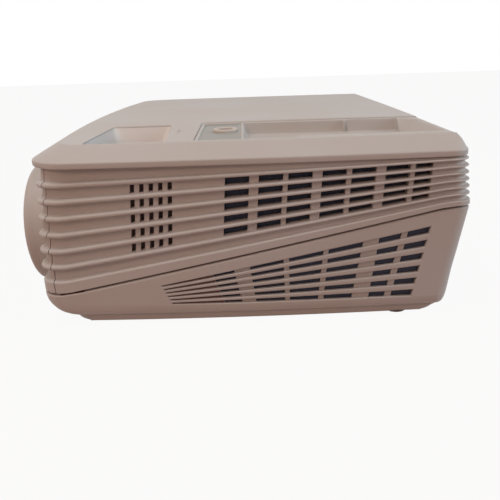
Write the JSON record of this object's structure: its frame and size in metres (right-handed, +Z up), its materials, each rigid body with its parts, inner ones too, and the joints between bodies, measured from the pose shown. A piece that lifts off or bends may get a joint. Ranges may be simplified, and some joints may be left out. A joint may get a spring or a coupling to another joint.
{
  "type": "video projector",
  "caption": "Compact video projector with a round lens at the front left, a ribbed off-white case, vented sides, a sunken key strip and screw feet.",
  "frame": {"origin": "on the table, under the middle of the case", "axes": "+X to the side with the lens and the key strip, +Y to the rear with the sockets, +Z up"},
  "size_m": [0.2998, 0.2379, 0.0969],
  "materials": {
    "housing_plastic": "warm off-white moulded plastic, very fine texture, satin",
    "control_plastic": "warm grey satin plastic",
    "dark_plastic": "black moulded plastic",
    "lens_glass": "coated optical glass",
    "filter_glass": "dichroic colour segments",
    "steel": "plated steel",
    "heatsink_aluminium": "natural extruded aluminium",
    "reflector_coating": "coated glass bowl",
    "lamp_ceramic": "white ceramic and quartz",
    "circuit_board": "green solder mask",
    "rubber": "matt black rubber",
    "key_plastic": "light keys, slightly glossy",
    "button_plastic": "cream button with a bright ring",
    "light_pipe": "smoked clear plastic",
    "blue_plastic": "blue connector plastic",
    "yellow_plastic": "yellow connector plastic",
    "green_plastic": "green connector plastic"
  },
  "bodies": {
    "case": {"left_side_panel": "housing_plastic", "right_side_panel": "housing_plastic", "front_bezel": "housing_plastic", "rear_panel": "housing_plastic", "lower_case": "housing_plastic", "top_cover": "housing_plastic", "lens_surround": "housing_plastic", "lamp_cover": "housing_plastic", "control_panel": "control_plastic", "lens_tube": "dark_plastic", "optical_engine": "dark_plastic", "lamp_housing": "dark_plastic", "exhaust_fan_frame": "dark_plastic", "intake_fan_frame": "dark_plastic", "loudspeaker": "dark_plastic", "power_inlet": "dark_plastic", "serial_port": "dark_plastic", "s_video_socket": "dark_plastic", "ir_window": "dark_plastic", "wheel_motor": "steel", "socket_plate": "steel", "usb_port": "steel", "lamp_cover_screw": "steel", "case_screw_1": "steel", "case_screw_2": "steel", "case_screw_3": "steel", "chip_heatsink": "heatsink_aluminium", "lamp_reflector": "reflector_coating", "lamp_burner": "lamp_ceramic", "switch_board": "circuit_board", "chip_board": "circuit_board", "main_board": "circuit_board", "power_supply": "circuit_board", "lamp_ballast": "circuit_board", "fixed_rear_foot": "rubber", "status_lights": "light_pipe", "computer_in": "blue_plastic", "monitor_out": "blue_plastic", "video_socket": "yellow_plastic", "audio_socket": "green_plastic"},
    "lens_front": {"lens_barrel": "dark_plastic", "front_lens": "lens_glass"},
    "focus_ring": {"focus_ring": "dark_plastic"},
    "zoom_ring": {"zoom_ring": "dark_plastic"},
    "zoom_lens_group": {"zoom_lens_group": "dark_plastic"},
    "power_button": {"power_button": "button_plastic"},
    "front_foot_shaft": {"front_foot_shaft": "steel"},
    "front_foot_pad": {"front_foot_pad": "rubber"},
    "rear_foot_shaft": {"rear_foot_shaft": "steel"},
    "rear_foot_pad": {"rear_foot_pad": "rubber"},
    "exhaust_fan_rotor": {"exhaust_fan_rotor": "dark_plastic"},
    "intake_fan_rotor": {"intake_fan_rotor": "dark_plastic"},
    "colour_wheel": {"colour_wheel": "filter_glass"},
    "menu_key": {"menu_key": "key_plastic"},
    "source_key": {"source_key": "key_plastic"},
    "enter_key": {"enter_key": "key_plastic"},
    "up_key": {"up_key": "key_plastic"},
    "down_key": {"down_key": "key_plastic"},
    "left_key": {"left_key": "key_plastic"},
    "right_key": {"right_key": "key_plastic"}
  },
  "joints": [
    {"name": "focus_turn", "type": "hinge", "parent": "case", "child": "focus_ring", "pos_m": [0.1, -0.072, 0.047], "axis": [0, 1, 0], "range_deg": [-45, 45]},
    {"name": "focus_slide", "type": "slide", "parent": "case", "child": "lens_front", "axis": [0, 1, 0], "range_m": [-0.002, 0.002]},
    {"name": "zoom_turn", "type": "hinge", "parent": "case", "child": "zoom_ring", "pos_m": [0.1, -0.0525, 0.047], "axis": [0, 1, 0], "range_deg": [-30, 30]},
    {"name": "zoom_slide", "type": "slide", "parent": "case", "child": "zoom_lens_group", "axis": [0, 1, 0], "range_m": [-0.003, 0.003]},
    {"name": "power_press", "type": "slide", "parent": "case", "child": "power_button", "axis": [0, 0, -1], "range_m": [0, 0.0008], "stiffness_N_per_m": 400, "springref_m": -0.001},
    {"name": "menu_press", "type": "slide", "parent": "case", "child": "menu_key", "axis": [0, 0, -1], "range_m": [0, 0.001], "stiffness_N_per_m": 300, "springref_m": -0.001},
    {"name": "source_press", "type": "slide", "parent": "case", "child": "source_key", "axis": [0, 0, -1], "range_m": [0, 0.001], "stiffness_N_per_m": 300, "springref_m": -0.001},
    {"name": "enter_press", "type": "slide", "parent": "case", "child": "enter_key", "axis": [0, 0, -1], "range_m": [0, 0.001], "stiffness_N_per_m": 300, "springref_m": -0.001},
    {"name": "up_press", "type": "slide", "parent": "case", "child": "up_key", "axis": [0, 0, -1], "range_m": [0, 0.001], "stiffness_N_per_m": 300, "springref_m": -0.001},
    {"name": "down_press", "type": "slide", "parent": "case", "child": "down_key", "axis": [0, 0, -1], "range_m": [0, 0.001], "stiffness_N_per_m": 300, "springref_m": -0.001},
    {"name": "left_press", "type": "slide", "parent": "case", "child": "left_key", "axis": [0, 0, -1], "range_m": [0, 0.001], "stiffness_N_per_m": 300, "springref_m": -0.001},
    {"name": "right_press", "type": "slide", "parent": "case", "child": "right_key", "axis": [0, 0, -1], "range_m": [0, 0.001], "stiffness_N_per_m": 300, "springref_m": -0.001},
    {"name": "front_foot_height", "type": "slide", "parent": "case", "child": "front_foot_shaft", "axis": [0, 0, -1], "range_m": [0, 0.012]},
    {"name": "front_foot_turn", "type": "hinge", "parent": "front_foot_shaft", "child": "front_foot_pad", "pos_m": [0, -0.08, 0.001], "axis": [0, 0, 1], "range_deg": [0, 1080]},
    {"name": "rear_foot_height", "type": "slide", "parent": "case", "child": "rear_foot_shaft", "axis": [0, 0, -1], "range_m": [0, 0.004]},
    {"name": "rear_foot_turn", "type": "hinge", "parent": "rear_foot_shaft", "child": "rear_foot_pad", "pos_m": [-0.12, 0.085, 0.001], "axis": [0, 0, 1], "range_deg": [0, 1080]},
    {"name": "exhaust_fan_spin", "type": "hinge", "parent": "case", "child": "exhaust_fan_rotor", "pos_m": [0.1334, 0.065, 0.0355], "axis": [1, 0, 0], "continuous": true},
    {"name": "intake_fan_spin", "type": "hinge", "parent": "case", "child": "intake_fan_rotor", "pos_m": [-0.134, 0.048, 0.0355], "axis": [1, 0, 0], "continuous": true},
    {"name": "colour_wheel_spin", "type": "hinge", "parent": "case", "child": "colour_wheel", "pos_m": [0.093, 0.0215, 0.042], "axis": [0, 1, 0], "continuous": true}
  ],
  "couplings": [
    {"joint": "focus_slide", "follows": "focus_turn", "m_per_rad": 0.0025465},
    {"joint": "zoom_slide", "follows": "zoom_turn", "m_per_rad": 0.0057296},
    {"joint": "front_foot_turn", "follows": "front_foot_height", "rad_per_m": 1570.8},
    {"joint": "rear_foot_turn", "follows": "rear_foot_height", "rad_per_m": 4712.4}
  ]
}
